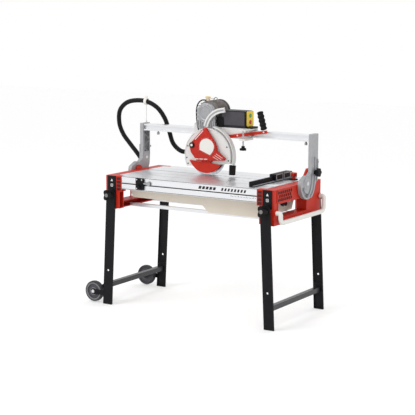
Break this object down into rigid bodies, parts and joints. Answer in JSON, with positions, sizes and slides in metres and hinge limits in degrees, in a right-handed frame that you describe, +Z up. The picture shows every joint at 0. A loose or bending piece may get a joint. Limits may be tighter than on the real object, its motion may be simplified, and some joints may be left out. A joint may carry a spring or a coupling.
{
  "type": "bridge wet tile saw",
  "caption": "Wheeled wet tile saw: sliding, plunging, tilting bridge head over an aluminium table with a water tray, on folding legs.",
  "frame": {"origin": "on the floor, under the middle of the saw's overall length and width, the hose left out", "axes": "+X along the table and the bridge rail towards the carrying handle, +Y away from the operator, +Z up"},
  "size_m": [1.4979, 0.7066, 1.2593],
  "materials": {
    "red_paint": "gloss powder coat",
    "aluminium": "extruded satin",
    "cast_alloy": "sand-cast, lightly blasted",
    "white_paint": "satin powder coat",
    "cream_plastic": "moulded",
    "black_steel": "satin powder coat",
    "black_plastic": "moulded, fine grain",
    "dark_casing": "moulded",
    "grey_wheel": "solid rubber",
    "black_rubber": "matte",
    "steel": "machined",
    "green_plastic": "moulded"
  },
  "bodies": {
    "table": {"left_end_casting": "red_paint", "right_end_casting": "red_paint", "front_apron": "aluminium", "rear_apron": "aluminium", "front_table_plate": "aluminium", "rear_table_plate": "aluminium", "water_tray": "cream_plastic", "pump": "black_plastic", "carry_handle": "white_paint", "hose_junction": "black_plastic", "front_tie_bar": "aluminium", "rear_tie_bar": "aluminium"},
    "left_legs": {"left_front_leg": "black_steel", "left_rear_leg": "black_steel", "left_crossbar": "black_steel", "front_wheel_bracket": "black_steel", "rear_wheel_bracket": "black_steel"},
    "right_legs": {"right_front_leg": "black_steel", "right_rear_leg": "black_steel", "right_crossbar": "black_steel"},
    "front_wheel": {"front_wheel": "grey_wheel"},
    "rear_wheel": {"rear_wheel": "grey_wheel"},
    "left_front_knob": {"left_front_knob": "black_plastic"},
    "left_rear_knob": {"left_rear_knob": "black_plastic"},
    "right_front_knob": {"right_front_knob": "black_plastic"},
    "right_rear_knob": {"right_rear_knob": "black_plastic"},
    "drain_plug": {"drain_plug": "dark_casing"},
    "apron_clamp": {"apron_clamp": "black_plastic"},
    "fence": {"fence_bar": "black_plastic"},
    "stop_block": {"stop_block": "black_plastic"},
    "fence_knob": {"fence_knob": "red_paint"},
    "bridge": {"left_upright": "cast_alloy", "right_upright": "cast_alloy", "bridge_rail": "aluminium", "hose_support": "white_paint", "hose": "black_rubber"},
    "left_tilt_knob": {"left_tilt_knob": "black_plastic"},
    "right_tilt_knob": {"right_tilt_knob": "black_plastic"},
    "carriage": {"carriage": "white_paint"},
    "front_roller": {"front_roller": "steel"},
    "rear_roller": {"rear_roller": "steel"},
    "depth_screw": {"depth_screw": "black_plastic"},
    "head": {"head_plate": "white_paint", "motor_body": "dark_casing", "belt_case": "cast_alloy", "belt_cover": "cast_alloy", "drive_belt": "black_rubber", "guard_housing": "white_paint", "rubber_flap": "black_rubber", "switch_box": "dark_casing", "head_lever": "red_paint", "hand_grip": "black_plastic"},
    "blade_cover": {"blade_cover": "red_paint"},
    "lower_guard": {"lower_guard": "red_paint"},
    "blade": {"saw_blade": "steel", "spindle": "steel"},
    "motor_rotor": {"motor_rotor": "steel"},
    "start_button": {"start_button": "green_plastic"},
    "stop_button": {"stop_button": "red_paint"},
    "water_valve": {"water_valve": "cream_plastic"}
  },
  "joints": [
    {"name": "left_legs_fold", "type": "hinge", "parent": "table", "child": "left_legs", "pos_m": [-0.48275, 0, 0.683], "axis": [0, -1, 0], "range_deg": [0, 72]},
    {"name": "right_legs_fold", "type": "hinge", "parent": "table", "child": "right_legs", "pos_m": [0.59725, 0, 0.683], "axis": [0, 1, 0], "range_deg": [0, 78]},
    {"name": "front_wheel_spin", "type": "hinge", "parent": "left_legs", "child": "front_wheel", "pos_m": [-0.62175, -0.28, 0.068], "axis": [0, 1, 0], "continuous": true},
    {"name": "rear_wheel_spin", "type": "hinge", "parent": "left_legs", "child": "rear_wheel", "pos_m": [-0.62175, 0.28, 0.068], "axis": [0, 1, 0], "continuous": true},
    {"name": "left_front_knob_turn", "type": "hinge", "parent": "table", "child": "left_front_knob", "pos_m": [-0.48275, -0.285, 0.683], "axis": [0, -1, 0], "continuous": true},
    {"name": "left_rear_knob_turn", "type": "hinge", "parent": "table", "child": "left_rear_knob", "pos_m": [-0.48275, 0.285, 0.683], "axis": [0, 1, 0], "continuous": true},
    {"name": "right_front_knob_turn", "type": "hinge", "parent": "table", "child": "right_front_knob", "pos_m": [0.59725, -0.299, 0.683], "axis": [0, -1, 0], "continuous": true},
    {"name": "right_rear_knob_turn", "type": "hinge", "parent": "table", "child": "right_rear_knob", "pos_m": [0.59725, 0.299, 0.683], "axis": [0, 1, 0], "continuous": true},
    {"name": "drain_plug_pull", "type": "slide", "parent": "table", "child": "drain_plug", "axis": [1, 0, 0], "range_m": [0, 0.03]},
    {"name": "apron_clamp_slide", "type": "slide", "parent": "table", "child": "apron_clamp", "axis": [1, 0, 0], "range_m": [-0.1, 0.74]},
    {"name": "fence_swivel", "type": "hinge", "parent": "table", "child": "fence", "pos_m": [0.52725, 0.155, 0.8], "axis": [0, 0, -1], "range_deg": [0, 45]},
    {"name": "stop_slide", "type": "slide", "parent": "fence", "child": "stop_block", "axis": [0, 1, 0], "range_m": [-0.23, 0.03]},
    {"name": "fence_knob_turn", "type": "hinge", "parent": "table", "child": "fence_knob", "pos_m": [0.52725, 0.155, 0.8], "axis": [0, 0, 1], "continuous": true},
    {"name": "bridge_tilt", "type": "hinge", "parent": "table", "child": "bridge", "pos_m": [0.05725, 0.055, 0.8], "axis": [-1, 0, 0], "range_deg": [0, 45], "deforming": ["hose"]},
    {"name": "left_tilt_knob_turn", "type": "hinge", "parent": "bridge", "child": "left_tilt_knob", "pos_m": [-0.55405, 0.12548, 0.77435], "axis": [-1, 0, 0], "continuous": true},
    {"name": "right_tilt_knob_turn", "type": "hinge", "parent": "bridge", "child": "right_tilt_knob", "pos_m": [0.66855, 0.15026, 0.855], "axis": [1, 0, 0], "continuous": true},
    {"name": "head_slide", "type": "slide", "parent": "bridge", "child": "carriage", "axis": [1, 0, 0], "range_m": [-0.33, 0.25], "deforming": ["hose"]},
    {"name": "front_roller_spin", "type": "hinge", "parent": "carriage", "child": "front_roller", "pos_m": [-0.09275, 0.121, 1.0538], "axis": [0, 1, 0], "range_deg": [-2100, 1600]},
    {"name": "rear_roller_spin", "type": "hinge", "parent": "carriage", "child": "rear_roller", "pos_m": [0.20725, 0.184, 1.0538], "axis": [0, 1, 0], "range_deg": [-2100, 1600]},
    {"name": "depth_screw_turn", "type": "hinge", "parent": "carriage", "child": "depth_screw", "pos_m": [0.25425, 0.026, 0.98], "axis": [0, 0, 1], "continuous": true},
    {"name": "head_plunge", "type": "hinge", "parent": "carriage", "child": "head", "pos_m": [-0.13275, 0.15, 1.0955], "axis": [0, -1, 0], "range_deg": [0, 20]},
    {"name": "blade_cover_open", "type": "hinge", "parent": "head", "child": "blade_cover", "pos_m": [0.13525, 0.026, 0.95], "axis": [0, 0, 1], "range_deg": [0, 95]},
    {"name": "lower_guard_swing", "type": "hinge", "parent": "head", "child": "lower_guard", "pos_m": [-0.00775, 0.04, 0.917], "axis": [0, 1, 0], "range_deg": [0, 45]},
    {"name": "blade_spin", "type": "hinge", "parent": "head", "child": "blade", "pos_m": [-0.00775, 0.055, 0.917], "axis": [0, 1, 0], "continuous": true},
    {"name": "rotor_spin", "type": "hinge", "parent": "head", "child": "motor_rotor", "pos_m": [-0.04275, 0.15, 1.17], "axis": [0, 1, 0], "continuous": true},
    {"name": "start_button_press", "type": "slide", "parent": "head", "child": "start_button", "axis": [-1, 0, 0], "range_m": [0, 0.003], "stiffness_N_per_m": 300},
    {"name": "stop_button_press", "type": "slide", "parent": "head", "child": "stop_button", "axis": [-1, 0, 0], "range_m": [0, 0.003], "stiffness_N_per_m": 300},
    {"name": "water_valve_turn", "type": "hinge", "parent": "head", "child": "water_valve", "pos_m": [-0.05275, 0.122, 1.24], "axis": [0, 0, 1], "range_deg": [0, 90]}
  ],
  "couplings": [
    {"joint": "front_roller_spin", "follows": "head_slide", "rad_per_m": 105.26},
    {"joint": "rear_roller_spin", "follows": "head_slide", "rad_per_m": 105.26},
    {"joint": "rotor_spin", "follows": "blade_spin", "ratio": 1.1818}
  ]
}
